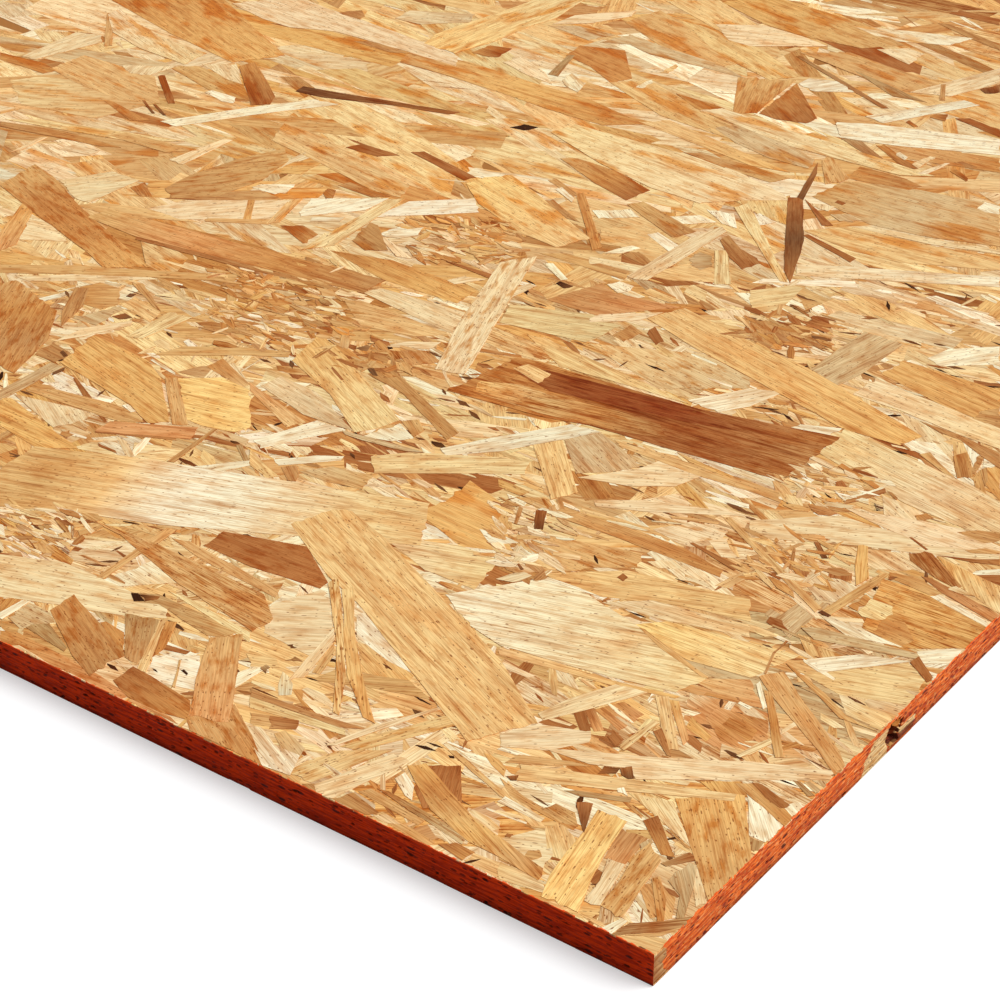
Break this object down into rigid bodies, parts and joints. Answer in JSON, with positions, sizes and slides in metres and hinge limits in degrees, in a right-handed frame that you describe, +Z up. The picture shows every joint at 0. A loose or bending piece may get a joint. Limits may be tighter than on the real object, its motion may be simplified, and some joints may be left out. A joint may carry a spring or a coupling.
{
  "type": "osb panel",
  "caption": "Flat rectangular sheet of pressed wood strands with square, red-sealed sawn edges, for sheathing walls, floors and roofs.",
  "frame": {"origin": "middle of the underside, on the surface that the panel lies on", "axes": "+X along the panel's length, the way most of its face strands lie; +Y across its width; +Z up, out of the top face"},
  "size_m": [2.438, 1.219, 0.0119],
  "materials": {
    "strand_board": "matte"
  },
  "bodies": {
    "root": {"osb_panel": "strand_board"}
  },
  "joints": []
}
